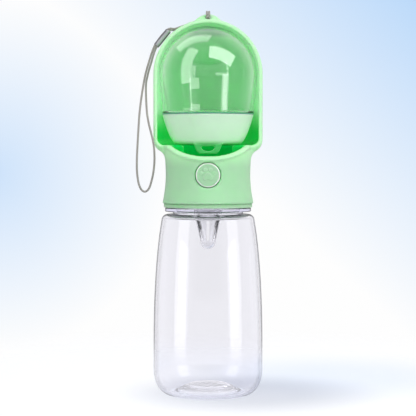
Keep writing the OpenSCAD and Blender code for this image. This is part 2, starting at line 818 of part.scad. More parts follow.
module lanyard_crimp() {
    d = crimp_low - crimp_top;
    color("silver")
    translate(crimp_top)
    rotate([0, acos(d[2] / norm(d)), atan2(d[1], d[0])])
    difference() {
        cylinder(d = crimp_d, h = norm(d));
        translate([0, 0, -1]) cylinder(d = crimp_d - 2 * crimp_wall, h = norm(d) + 2);
    }
}

bottle();
cap_gasket();
inner_cap();
inlet_cage();
head_shell();
valve_barrel();
barrel_gasket();
barrel_plug();
plug_oring();
stem_oring();
gland_washer();
outlet_seal();
button_spring();
button();
valve_stem();
valve_seal();
bowl();
dome_seal();
dome_cup();
lanyard_cord();
lanyard_crimp();
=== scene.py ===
"""A dog's travel water bottle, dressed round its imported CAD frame.

Z is up, the button side faces -Y and the origin is the centre of the foot. Shapes are
written in millimetres and scaled to metres as each mesh is finished.
"""
import math

import bmesh
import bpy
from mathutils import Matrix, Vector


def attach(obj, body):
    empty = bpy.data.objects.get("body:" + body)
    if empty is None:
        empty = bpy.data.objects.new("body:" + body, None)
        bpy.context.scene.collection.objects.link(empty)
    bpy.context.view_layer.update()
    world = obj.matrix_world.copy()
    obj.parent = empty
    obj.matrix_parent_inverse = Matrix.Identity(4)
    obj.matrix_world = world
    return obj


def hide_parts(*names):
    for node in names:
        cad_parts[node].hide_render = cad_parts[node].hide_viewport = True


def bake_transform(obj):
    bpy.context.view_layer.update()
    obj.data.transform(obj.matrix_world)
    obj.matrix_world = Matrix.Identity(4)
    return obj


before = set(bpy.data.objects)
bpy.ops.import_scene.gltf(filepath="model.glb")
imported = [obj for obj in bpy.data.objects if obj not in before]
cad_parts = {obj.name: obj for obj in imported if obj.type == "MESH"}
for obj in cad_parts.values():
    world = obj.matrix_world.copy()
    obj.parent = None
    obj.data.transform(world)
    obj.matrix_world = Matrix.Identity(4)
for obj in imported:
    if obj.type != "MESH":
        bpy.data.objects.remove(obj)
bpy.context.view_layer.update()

MM = 0.001

# ---- camera ----

IMAGE_PX = 416
FOCAL_PX = 1500
SENSOR_MM = 36
NEAR_CLIP = 0.05
CAMERA_BACK = 1.065
EYE_HEIGHT = 0.1665
AIM_HEIGHT = 0.1324


def make_camera():
    """A long lens a metre away, level with the drinking trough and tilted down a little."""
    lens = bpy.data.cameras.new("camera")
    lens.sensor_width = SENSOR_MM
    lens.lens = FOCAL_PX * SENSOR_MM / IMAGE_PX
    lens.clip_start = NEAR_CLIP
    camera = bpy.data.objects.new("camera", lens)
    bpy.context.scene.collection.objects.link(camera)
    tilt = math.atan2(EYE_HEIGHT - AIM_HEIGHT, CAMERA_BACK)
    camera.location = (0, -CAMERA_BACK, EYE_HEIGHT)
    camera.rotation_euler = (math.pi / 2 - tilt, 0, 0)
    bpy.context.scene.camera = camera


make_camera()

# ---- materials: shared helpers ----

# most of a noise lies between these values
NOISE_LOW, NOISE_HIGH = 0.3, 0.7


def linear(code):
    """An sRGB hex colour as linear RGBA."""
    parts = [int(code[i:i + 2], 16) / 255 for i in (1, 3, 5)]
    return [c / 12.92 if c <= 0.04045 else ((c + 0.055) / 1.055) ** 2.4 for c in parts] + [1]


def feed(node, sockets):
    """Fills a node's inputs, each with a value or with a link from another node or socket."""
    for key, value in sockets.items():
        if isinstance(value, bpy.types.Node):
            value = next(output for output in value.outputs if output.enabled)
        if isinstance(value, bpy.types.NodeSocket):
            node.id_data.links.new(value, node.inputs[key])
        else:
            node.inputs[key].default_value = value


def add(tree, kind, sockets=None, **settings):
    """Adds a shader node with its settings and fills its inputs."""
    made = tree.nodes.new(kind)
    for name, value in settings.items():
        setattr(made, name, value)
    feed(made, sockets or {})
    return made


def start(name, **principled):
    """A material with an empty Principled shader, which is returned with its tree."""
    material = bpy.data.materials.new(name)
    material.use_nodes = True
    tree = material.node_tree
    tree.nodes.clear()
    shader = add(tree, "ShaderNodeBsdfPrincipled", {
        key.replace("_", " "): value for key, value in principled.items()})
    add(tree, "ShaderNodeOutputMaterial", {"Surface": shader})
    return material, tree, shader


def object_noise(tree, spacing_mm, detail=2.0, stretch=(1, 1, 1)):
    """Noise in the piece's own coordinates whose grains are spacing_mm apart."""
    place = add(tree, "ShaderNodeTexCoord").outputs["Object"]
    grain = add(tree, "ShaderNodeMapping", {
        "Vector": place, "Scale": [s / (spacing_mm * MM) for s in stretch]})
    noise = add(tree, "ShaderNodeTexNoise", {"Vector": grain, "Scale": 1.0, "Detail": detail})
    return noise.outputs["Fac"]


def grained(tree, shader, roughness, give, wear, relief, depth_mm):
    """Gives a surface its grain: the noise wear moves its roughness up and down by give, and
    the noise relief raises it by depth_mm."""
    rough = add(tree, "ShaderNodeMapRange", {
        "Value": wear, "From Min": NOISE_LOW, "From Max": NOISE_HIGH,
        "To Min": roughness - give, "To Max": roughness + give})
    raised = add(tree, "ShaderNodeBump", {
        "Height": relief, "Distance": depth_mm * MM, "Strength": 1.0})
    feed(shader, {"Roughness": rough, "Normal": raised})


def from_axis(tree, place):
    """How far a place is from the bottle's axis."""
    level = add(tree, "ShaderNodeVectorMath", {0: place, 1: (1, 1, 0)}, operation="MULTIPLY")
    return add(tree, "ShaderNodeVectorMath", {0: level}, operation="LENGTH")


# ---- materials ----

# where a hollow's front wall turns into the painted shade of its back wall, where the
# hood's opening begins over the well, and over what width the well ends
HOLLOW_Y = (6, 22)
OPENING_Z = (190, 194)
WELL_EDGE = 4
# what a clear wall lets through when it is seen square on
CLEAR_FACE = "#FBFBFC"
# over what height and what width the mist of a bottle's base ends
MIST_RISE, MIST_WIDTH = 1, 4


def moulded_mint(name, tones, heights_mm, depths_mm, well_mm, reach_mm, roughness,
                 bends=(0.54, 0.66)):
    """Glossy injection-moulded plastic with a little light let through the wall, and a faint
    orange peel from the mould. Its colour is painted with light and shade. Its tones: open
    and low outside, above and below heights_mm, low being painted shade, as no light comes
    through from behind low down; front and back on a hollow's walls, the back one painted
    shade; deep, a painted shade and glow in a stronger green, where walls shade it most,
    and below depths_mm; edge, a painted highlight on a thin edge, from the first to the
    second of bends. A hollow is what walls within reach_mm shade, and all that lies less
    than well_mm from the axis below the hood's opening."""
    material, tree, shader = start(name, IOR=1.5, Specular_IOR_Level=0.3,
                                   Subsurface_Weight=0.5, Subsurface_Scale=0.005,
                                   Subsurface_Radius=(0.35, 1.0, 0.4))
    place = add(tree, "ShaderNodeTexCoord").outputs["Object"]
    parts = add(tree, "ShaderNodeSeparateXYZ", {"Vector": place}).outputs
    # painted shade: below heights_mm the low tone stands in for light that doesn't come through
    # from behind
    height = add(tree, "ShaderNodeMapRange", {
        "Value": parts["Z"], "From Min": heights_mm[0] * MM, "From Max": heights_mm[1] * MM},
        interpolation_type="SMOOTHSTEP")
    outside = add(tree, "ShaderNodeMix", {
        "Factor": height, "A": linear(tones["low"]), "B": linear(tones["open"])},
        data_type="RGBA")

    # painted shade: the hollow's wall darkens from the front tone to the back tone deeper in
    back = add(tree, "ShaderNodeMapRange", {
        "Value": parts["Y"], "From Min": HOLLOW_Y[0] * MM, "From Max": HOLLOW_Y[1] * MM})
    wall = add(tree, "ShaderNodeMix", {
        "Factor": back, "A": linear(tones["front"]), "B": linear(tones["back"])},
        data_type="RGBA")
    # painted shade and glow: where walls shade it most, and below depths_mm, the hollow takes the
    # deep tone
    shade = add(tree, "ShaderNodeAmbientOcclusion", {"Distance": reach_mm * MM}, samples=8,
                only_local=True).outputs["AO"]
    hollow = add(tree, "ShaderNodeMapRange", {
        "Value": shade, "From Min": 0.12, "From Max": 0.34})
    under = add(tree, "ShaderNodeMapRange", {
        "Value": parts["Z"], "From Min": depths_mm[0] * MM, "From Max": depths_mm[1] * MM},
        interpolation_type="SMOOTHSTEP")
    depth = add(tree, "ShaderNodeMath", {0: hollow, 1: under}, operation="MINIMUM")
    inside = add(tree, "ShaderNodeMix", {
        "Factor": depth, "A": linear(tones["deep"]), "B": wall}, data_type="RGBA")

    bare = add(tree, "ShaderNodeMapRange", {
        "Value": shade, "From Min": 0.45, "From Max": 0.75})
    beyond = add(tree, "ShaderNodeMapRange", {
        "Value": from_axis(tree, place), "From Min": well_mm * MM,
        "From Max": (well_mm + WELL_EDGE) * MM})
    above = add(tree, "ShaderNodeMapRange", {
        "Value": parts["Z"], "From Min": OPENING_Z[0] * MM, "From Max": OPENING_Z[1] * MM})
    clear = add(tree, "ShaderNodeMath", {0: beyond, 1: above}, operation="MAXIMUM")
    bare = add(tree, "ShaderNodeMath", {0: bare, 1: clear}, operation="MULTIPLY")
    body = add(tree, "ShaderNodeMix", {
        "Factor": bare, "A": inside, "B": outside}, data_type="RGBA")

    # painted highlight: thin edges take the edge tone
    bent = add(tree, "ShaderNodeNewGeometry").outputs["Pointiness"]
    edge = add(tree, "ShaderNodeMapRange", {
        "Value": bent, "From Min": bends[0], "From Max": bends[1]})
    edged = add(tree, "ShaderNodeMix", {
        "Factor": edge, "A": body, "B": linear(tones["edge"])}, data_type="RGBA")
    cloud = add(tree, "ShaderNodeMapRange", {
        "Value": object_noise(tree, 9), "From Min": NOISE_LOW, "From Max": NOISE_HIGH,
        "To Min": 0.985, "To Max": 1.015})
    tint = add(tree, "ShaderNodeHueSaturation", {"Color": edged, "Value": cloud})
    feed(shader, {"Base Color": tint})
    grained(tree, shader, roughness, 0.03, wear=object_noise(tree, 3, 4),
            relief=object_noise(tree, 0.9, 3), depth_mm=0.006)
    return material


def painted_rim_highlight(material, middle_mm, radii_mm, code):
    """A painted highlight on the rounded rim round a face across Y, all the way round."""
    tree = material.node_tree
    shader = tree.nodes["Principled BSDF"]
    face = shader.inputs["Base Color"].links[0].from_socket
    place = add(tree, "ShaderNodeTexCoord").outputs["Object"]
    flat = add(tree, "ShaderNodeVectorMath", {0: place, 1: (1, 0, 1)}, operation="MULTIPLY")
    out = add(tree, "ShaderNodeVectorMath", {
        0: flat, 1: [v * MM for v in middle_mm]}, operation="DISTANCE")
    near = add(tree, "ShaderNodeMapRange", {
        "Value": out, "From Min": radii_mm[0] * MM, "From Max": radii_mm[1] * MM},
        interpolation_type="SMOOTHSTEP")
    tone = add(tree, "ShaderNodeMix", {
        "Factor": near, "A": face, "B": linear(code)}, data_type="RGBA")
    feed(shader, {"Base Color": tone})


def clear_moulding(name, painted_edge_hex, painted_crown_hex, colour_hex, density, roughness, wave_mm,
                   wave_depth_mm):
    """Clear copolyester or styrene: smooth walls that bend and mirror the studio, a painted
    shade where they are seen edge on, a painted shade on the dome's faces turned up or down
    where the others take white, a trace of grey along the long way through an edge, and a
    slow ripple from the mould."""
    material, tree, shader = start(name, IOR=1.55, Transmission_Weight=1.0)
    # painted shade where a clear wall is seen edge on, in the edge colour
    facing = add(tree, "ShaderNodeLayerWeight", {"Blend": 0.5}).outputs["Facing"]
    rim = add(tree, "ShaderNodeMapRange", {
        "Value": facing, "From Min": 0.66, "From Max": 0.96})
    tone = add(tree, "ShaderNodeMix", {
        "Factor": rim, "A": linear(CLEAR_FACE), "B": linear(painted_edge_hex)}, data_type="RGBA")
    # painted tone on faces turned up or down: shade on the dome's top, white on the others
    normal = add(tree, "ShaderNodeNewGeometry").outputs["Normal"]
    parts = add(tree, "ShaderNodeSeparateXYZ", {"Vector": normal}).outputs
    upward = add(tree, "ShaderNodeMath", {0: parts["Z"]}, operation="ABSOLUTE")
    crown = add(tree, "ShaderNodeMapRange", {
        "Value": upward, "From Min": 0.84, "From Max": 0.95},
        interpolation_type="SMOOTHSTEP")
    crowned = add(tree, "ShaderNodeMix", {
        "Factor": crown, "A": tone, "B": linear(painted_crown_hex)}, data_type="RGBA")
    feed(shader, {"Base Color": crowned})
    grained(tree, shader, roughness, roughness * 0.3, wear=object_noise(tree, 6),
            relief=object_noise(tree, wave_mm, 1), depth_mm=wave_depth_mm)
    wall = add(tree, "ShaderNodeVolumeAbsorption", {
        "Color": linear(colour_hex), "Density": density})
    feed(tree.nodes["Material Output"], {"Volume": wall})
    return material


def misted_foot(material, height_mm, radius_mm, share):
    """The chilled, rougher plastic of a blown bottle's pushed-up base, which scatters a
    share of the light."""
    tree = material.node_tree
    place = add(tree, "ShaderNodeTexCoord").outputs["Object"]
    parts = add(tree, "ShaderNodeSeparateXYZ", {"Vector": place}).outputs
    high = add(tree, "ShaderNodeMapRange", {
        "Value": parts["Z"], "From Min": (height_mm - MIST_RISE) * MM,
        "From Max": height_mm * MM})
    wide = add(tree, "ShaderNodeMapRange", {
        "Value": from_axis(tree, place), "From Min": (radius_mm - MIST_WIDTH) * MM,
        "From Max": radius_mm * MM})
    out = add(tree, "ShaderNodeMath", {0: high, 1: wide}, operation="MAXIMUM")
    passed = add(tree, "ShaderNodeMapRange", {
        "Value": out, "To Min": 1 - share, "To Max": 1.0})
    feed(tree.nodes["Principled BSDF"], {"Transmission Weight": passed})


def matt_moulding(name, code, roughness):
    """Silicone, nitrile or acetal: matt, with a dusting of fine grain."""
    material, tree, shader = start(name, Base_Color=linear(code), IOR=1.42,
                                   Sheen_Weight=0.15, Sheen_Roughness=0.5)
    dust = object_noise(tree, 0.25, 3)
    grained(tree, shader, roughness, 0.05, wear=dust, relief=dust, depth_mm=0.01)
    return material


def drawn_metal(name, code, painted_edge_hex, roughness, along):
    """Metal drawn through a die: fine lines run along it and smear its highlights, and a
    painted shade darkens it where it turns away, which leaves a painted highlight along its
    middle. The lines are coarser than real ones, so that they show."""
    material, tree, shader = start(name, Metallic=0.5)
    # painted shade where the metal turns away, which leaves a painted highlight along its middle
    facing = add(tree, "ShaderNodeLayerWeight", {"Blend": 0.5}).outputs["Facing"]
    away = add(tree, "ShaderNodeMapRange", {
        "Value": facing, "From Min": 0.04, "From Max": 0.3})
    tone = add(tree, "ShaderNodeMix", {
        "Factor": away, "A": linear(code), "B": linear(painted_edge_hex)}, data_type="RGBA")
    feed(shader, {"Base Color": tone})
    lines = object_noise(tree, 0.12, 2, along)
    grained(tree, shader, roughness, 0.07, wear=lines, relief=lines, depth_mm=0.008)
    return material


def braided_polyester():
    """Round braid of grey polyester yarn: a soft sheen, and painted shade between the yarns,
    whose height on the braid is an attribute of its mesh."""
    material, tree, shader = start("grey_polyester_braid", IOR=1.5, Sheen_Weight=0.3,
                                   Sheen_Roughness=0.4)
    # painted shade between the yarns, lighter on their tops
    lay = add(tree, "ShaderNodeAttribute", attribute_name="yarn_height").outputs["Fac"]
    tones = add(tree, "ShaderNodeMix", {
        "Factor": lay, "A": linear("#4E4B49"), "B": linear("#B4B0AB")}, data_type="RGBA")
    feed(shader, {"Base Color": tones})
    fibres = object_noise(tree, 0.12, 3)
    grained(tree, shader, 0.62, 0, wear=fibres, relief=fibres, depth_mm=0.02)
    return material


# The head is one mint; its cap and button are moulded apart, and the bowl is a milky one.
# A well of no width is written as NO_WELL, and a piece without depths as NO_DEPTHS.
NO_WELL = -9
NO_DEPTHS = (0, 1)
# in each mint, the low, back and deep tones are painted shade, deep also a painted glow, and edge a
# painted highlight
mint_pp = moulded_mint(
    "mint_polypropylene_moulded",
    {"open": "#C2FBC3", "low": "#AFE4B4", "front": "#C8FFCE", "back": "#52CE72",
     "deep": "#00D055", "edge": "#D0F4D1"},
    heights_mm=(160, 171), depths_mm=(186, 204), well_mm=26, reach_mm=80, roughness=0.42)
# the cap's mint is darker than the head's: painted shade under the head's skirt
mint_band_pp = moulded_mint(
    "mint_polypropylene_cap",
    {"open": "#9FD4A3", "low": "#9BD19E", "front": "#83C78A", "back": "#83C78A",
     "deep": "#55B36A", "edge": "#B9E8BC"},
    heights_mm=(133, 136), depths_mm=NO_DEPTHS, well_mm=NO_WELL, reach_mm=8, roughness=0.4)
mint_button_pp = moulded_mint(
    "mint_polypropylene_button",
    {"open": "#A7D9AC", "low": "#A7D9AC", "front": "#8CC693", "back": "#8CC693",
     "deep": "#4FA862", "edge": "#E6FDE7"},
    heights_mm=(140, 141), depths_mm=NO_DEPTHS, well_mm=NO_WELL, reach_mm=3, roughness=0.3,
    bends=(0.505, 0.545))
# a painted highlight round the button's rim
painted_rim_highlight(mint_button_pp, middle_mm=(0, 0, 156), radii_mm=(7.5, 7.8), code="#EDFFEE")
milky_pp = moulded_mint(
    "milky_mint_polypropylene",
    {"open": "#D1F7D4", "low": "#4DBB66", "front": "#B2E9BA", "back": "#B2E9BA",
     "deep": "#5FD07A", "edge": "#E8FBE9"},
    heights_mm=(176.5, 180.5), depths_mm=NO_DEPTHS, well_mm=NO_WELL, reach_mm=9,
    roughness=0.4)
bottle_copolyester = clear_moulding(
    "clear_copolyester_blown", painted_edge_hex="#716F79", painted_crown_hex="#FFFFFF", colour_hex="#D4D0F0",
    density=45, roughness=0.004, wave_mm=22, wave_depth_mm=0.03)
misted_foot(bottle_copolyester, height_mm=9.6, radius_mm=24, share=0.27)
dome_styrene = clear_moulding(
    "clear_styrene_moulded", painted_edge_hex="#F2FAF4", painted_crown_hex="#C2CDD3", colour_hex="#DDE3E2",
    density=14, roughness=0.01, wave_mm=26, wave_depth_mm=0.03)
cage_styrene = clear_moulding(
    "clear_styrene_cage", painted_edge_hex="#77757D", painted_crown_hex="#FFFFFF", colour_hex="#CFCDD8",
    density=40, roughness=0.01, wave_mm=8, wave_depth_mm=0.01)
white_silicone = matt_moulding("white_silicone_moulded", "#F2F3F0", 0.5)
teal_silicone = matt_moulding("dark_teal_silicone_moulded", "#4A967A", 0.42)
black_nitrile = matt_moulding("black_nitrile_rubber", "#1B1B1C", 0.5)
valve_acetal = matt_moulding("natural_acetal_turned", "#E9EAE4", 0.36)
spring_steel = drawn_metal("spring_steel_wire", "#BFC1C4", "#8E9094", 0.28, (1, 1, 1))
sleeve_metal = drawn_metal("nickel_plated_sleeve", "#D2D2D8", "#6A6A70", 0.42, (1, 1, 0.08))
cord_braid = braided_polyester()

# ---- mesh helpers ----

MERGE_MM = 1e-4
CAD_MERGE = 2e-6
SHARP_DEG = 35


def bend(p0, p1, p2, p3, steps=10):
    """Points on a cubic curve, its ends included."""
    return [tuple(a * (1 - t) ** 3 + 3 * b * t * (1 - t) ** 2 + 3 * c * t * t * (1 - t) + d * t ** 3
                  for a, b, c, d in zip(p0, p1, p2, p3))
            for t in (i / steps for i in range(steps + 1))]


def oval(centre, across, up, first, last, steps=12):
    """Points on an ellipse from one angle to another, in degrees."""
    turns = [math.radians(first + (last - first) * i / steps) for i in range(steps + 1)]
    return [(centre[0] + across * math.cos(a), centre[1] + up * math.sin(a)) for a in turns]


def shifted(points, across, up):
    """An outline moved by across and up."""
    return [(x + across, z + up) for x, z in points]


def lathe(bm, outline, steps, closed, angle=2 * math.pi, rise=0.0):
    """Spins an outline of (radius, height) or (radius, height, corner radius) round Z."""
    verts = [bm.verts.new((p[0], 0, p[1])) for p in outline]
    for pair in zip(verts, verts[1:]):
        bm.edges.new(pair)
    if closed:
        bm.edges.new((verts[-1], verts[0]))
    rounds = []
    for i, point in enumerate(outline):
        if len(point) > 2:
            to_last = verts[i - 1].co - verts[i].co
            to_next = verts[(i + 1) % len(verts)].co - verts[i].co
            rounds.append((verts[i], point[2] / math.tan(to_last.angle(to_next) / 2)))
    for vert, back in rounds:
        bmesh.ops.bevel(bm, geom=[vert], offset=back, offset_type="OFFSET", affect="VERTICES",
                        segments=4, profile=0.5, material=-1)
    bmesh.ops.spin(bm, geom=bm.verts[:] + bm.edges[:], cent=(0, 0, 0), axis=(0, 0, 1),
                   dvec=(0, 0, rise / steps), angle=angle, steps=steps,
                   use_merge=angle >= 2 * math.pi and not rise)


def finish(bm, name, body, material, slot, *nodes, turn=None, sharp=SHARP_DEG):
    """Closes a bmesh in millimetres into a piece that rides on body and replaces nodes."""
    bmesh.ops.remove_doubles(bm, verts=bm.verts, dist=MERGE_MM)
    bmesh.ops.recalc_face_normals(bm, faces=bm.faces)
    if turn is not None:
        bmesh.ops.transform(bm, matrix=turn, verts=bm.verts)
    bmesh.ops.scale(bm, vec=(MM, MM, MM), verts=bm.verts)
    mesh = bpy.data.meshes.new(name)
    bm.to_mesh(mesh)
    bm.free()
    return placed(mesh, name, body, material, slot, *nodes, sharp=sharp)


def shaded(mesh, name, material, sharp=SHARP_DEG):
    """An object of one material, smooth but where its faces meet at sharp degrees or more."""
    piece = bpy.data.objects.new(name, mesh)
    bpy.context.scene.collection.objects.link(piece)
    mesh.materials.clear()
    mesh.materials.append(material)
    mesh.shade_smooth()
    if sharp:
        mesh.set_sharp_from_angle(angle=math.radians(sharp))
    return piece


def placed(mesh, name, body, material, slot, *nodes, sharp=SHARP_DEG):
    """A piece that rides on body, takes material's colour and replaces nodes, if there are any.
    slot is not used.
    """
    piece = shaded(mesh, name, material, sharp)
    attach(piece, body)
    if nodes:
        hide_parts(*nodes)
    return piece


def merged_copy(node):
    """The CAD node's mesh with its loose triangles joined up."""
    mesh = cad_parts[node].data.copy()
    bm = bmesh.new()
    bm.from_mesh(mesh)
    bmesh.ops.remove_doubles(bm, verts=bm.verts, dist=CAD_MERGE)
    bm.to_mesh(mesh)
    bm.free()
    return mesh


def moulded_copy(node, name, body, material, slot, grain_mm, passes):
    """A moulding over a CAD node: remeshed evenly, so that every edge gets the small
    radius that a mould leaves."""
    rough = bpy.data.objects.new(name + "_rough", merged_copy(node))
    bpy.context.scene.collection.objects.link(rough)
    remesh = rough.modifiers.new("skin", "REMESH")
    remesh.mode = "VOXEL"
    remesh.voxel_size = grain_mm * MM
    remesh.adaptivity = 0
    skin = bpy.data.meshes.new_from_object(
        rough.evaluated_get(bpy.context.evaluated_depsgraph_get()))
    skin.name = name
    bpy.data.objects.remove(rough)
    bm = bmesh.new()
    bm.from_mesh(skin)
    for _ in range(passes):
        bmesh.ops.smooth_vert(bm, verts=bm.verts, factor=0.5,
                              use_axis_x=True, use_axis_y=True, use_axis_z=True)
    bm.to_mesh(skin)
    bm.free()
    return placed(skin, name, body, material, slot, node, sharp=0)


# ---- lanyard ----

CORD_D = 1.5
CORD_STEP = 0.25
CORD_SIDES = 24
ROUTE_STEPS = 12
# each way round, fewer and thicker yarns than a real braid's, so that they show
YARNS = 4
YARN_PITCH = 3.2
YARN_DEPTH = 0.07

cord_route = [
    (-0.8, 5.8, 267.3), (-0.8, 4.3, 267.8), (-0.8, 3.7, 269.5), (-0.8, 4.5, 271.2),
    (-0.8, 6, 271.9), (-0.8, 7.6, 271.2), (-0.9, 8.4, 269.5), (-2.6, 8.9, 267.3),
    (-6, 9.2, 265.7), (-12, 9.2, 264.1), (-18, 8.6, 261.9), (-23.5, 7, 259.9),
    (-29, 5.5, 259), (-37.5, 3.5, 248.3), (-42.5, 1.5, 234), (-45.3, 0, 222.5),
    (-48, -4, 203), (-49.2, -7, 185), (-50.1, -9, 164), (-49.3, -9.5, 152.5),
    (-47.4, -10, 146.5), (-44.7, -10, 144.2), (-42, -10, 145.8), (-40.2, -10.2, 150),
    (-38.3, -10.5, 158.5), (-37.6, -10.5, 168.5), (-38.5, -10, 179), (-41.9, -7.5, 193),
    (-43.3, -5, 203), (-44, -0.5, 218.5), (-42.9, 1, 226), (-40.6, 2.2, 234.5),
    (-36.3, 3.5, 247.3), (-27.8, 5.5, 258), (-23, 8.8, 259.1), (-17.5, 10.7, 261.3),
    (-11.5, 11.3, 263.6), (-5.5, 11.3, 265), (-1.6, 10.6, 265.9), (0.5, 9.4, 267.6),
    (0.8, 8.4, 269.5), (0.8, 7.6, 271.2), (0.8, 6, 271.9), (0.8, 4.5, 271.2),
    (0.8, 3.7, 269.5), (0.8, 4.3, 267.8), (0.8, 6.2, 267.3)]
SLEEVE_TOP = Vector((-28.2, 5.5, 258.3))
SLEEVE_LOW = Vector((-36.7, 3.5, 247.6))
SLEEVE_R, SLEEVE_WALL = 2.1, 0.2
SLEEVE_GROOVE, GROOVE_HALF, GROOVE_DEPTH = 1.35, 0.25, 0.1


def smooth_route(points, per_stretch):
    """The route's points with a smooth curve through them."""
    points = [Vector(p) for p in points]
    route = []
    for i in range(len(points) - 1):
        a, b = points[max(i - 1, 0)], points[i]
        c, d = points[i + 1], points[min(i + 2, len(points) - 1)]
        for k in range(per_stretch):
            t = k / per_stretch
            route.append(0.5 * (2 * b + (c - a) * t + (2 * a - 5 * b + 4 * c - d) * t * t
                                + (3 * b - a - 3 * c + d) * t ** 3))
    return route + [points[-1]]


def even_route(points, step):
    """Points about a step apart along a route, and the route's length."""
    walked = [0.0]
    for a, b in zip(points, points[1:]):
        walked.append(walked[-1] + (b - a).length)
    count = round(walked[-1] / step)
    even, k = [], 0
    for i in range(count + 1):
        target = walked[-1] * i / count
        while k < len(points) - 2 and walked[k + 1] < target:
            k += 1
        part = (target - walked[k]) / (walked[k + 1] - walked[k])
        even.append(points[k].lerp(points[k + 1], min(part, 1)))
    return even, walked[-1]


def swept_tube(path):
    """A round tube along the cord's path, in metres."""
    line = bpy.data.curves.new("cord_line", "CURVE")
    line.dimensions = "3D"
    line.bevel_depth = CORD_D / 2 * MM
    line.bevel_resolution = CORD_SIDES // 4 - 1
    line.use_fill_caps = True
    line.twist_mode = "MINIMUM"
    spline = line.splines.new("POLY")
    spline.points.add(len(path) - 1)
    for point, place in zip(spline.points, path):
        point.co = (*(place * MM), 1)
    holder = bpy.data.objects.new("cord_holder", line)
    bpy.context.scene.collection.objects.link(holder)
    mesh = bpy.data.meshes.new_from_object(
        holder.evaluated_get(bpy.context.evaluated_depsgraph_get()))
    bpy.data.objects.remove(holder)
    mesh.name = "lanyard_braid"
    return mesh


def make_cord():
    """The braided cord, with its path and length in metres. Two sets of yarns wind opposite
    ways, and the surface sinks between them."""
    path, length = even_route(smooth_route(cord_route, ROUTE_STEPS), CORD_STEP)
    mesh = swept_tube(path)
    sides = round(len(mesh.vertices) / len(path))
    heights = []
    for i, vert in enumerate(mesh.vertices):
        ring, side = divmod(i, sides)
        ring = min(ring, len(path) - 1)
        turn = YARNS * 2 * math.pi * side / sides
        wind = 2 * math.pi * ring * CORD_STEP / YARN_PITCH * YARNS / 2
        height = max(math.cos(turn + wind), math.cos(turn - wind)) * 0.5 + 0.5
        heights.append(height)
        middle = path[ring] * MM
        vert.co = middle + (vert.co - middle) * (1 - YARN_DEPTH * (1 - height))
    mesh.attributes.new("yarn_height", "FLOAT", "POINT").data.foreach_set("value", heights)
    cord = placed(mesh, "lanyard_braid", "head", cord_braid, "cord_braid", "lanyard_cord",
                  sharp=0)
    return cord, [list(p * MM) for p in path], length * MM


def make_sleeve():
    """Thin metal sleeve over both runs of the cord, with rolled ends and a groove near each."""
    run = SLEEVE_TOP - SLEEVE_LOW
    grooves = []
    for middle in (SLEEVE_GROOVE, run.length - SLEEVE_GROOVE):
        grooves += [(SLEEVE_R, middle - GROOVE_HALF), (SLEEVE_R - GROOVE_DEPTH, middle),
                    (SLEEVE_R, middle + GROOVE_HALF)]
    bm = bmesh.new()
    lathe(bm, [(SLEEVE_R - SLEEVE_WALL, 0, 0.08), (SLEEVE_R, 0, 0.1)] + grooves
          + [(SLEEVE_R, run.length, 0.1), (SLEEVE_R - SLEEVE_WALL, run.length, 0.08)], 48, True)
    turn = Matrix.Translation(SLEEVE_LOW) @ run.to_track_quat("Z", "Y").to_matrix().to_4x4()
    return finish(bm, "lanyard_sleeve", "head", sleeve_metal, "crimp_metal", "lanyard_crimp",
                  turn=turn)


sleeve = make_sleeve()
cord, cord_path, cord_length = make_cord()

# ---- bottle ----

FOOT_IN, FOOT_OUT, BOTTLE_R, HEEL_H = 23, 27, 38.7, 17
SHOULDER_R, SHOULDER_Z, SHOULDER_ROUND = 33, 128.2, 4.5
BOTTLE_WALL = 1.8
NECK_R, NECK_IN = 24.8, 22.6
RING_R, RING_LOW, RING_HIGH, MOUTH_Z = 30.5, 130, 132.7, 142
THREAD_Z, THREAD_FOOT, THREAD_TOP = 134.4, 1.4, 0.6
THREAD_PITCH, THREAD_PROUD, THREAD_SUNK, THREAD_DEG = 4.05, 0.22, 0.3, 500


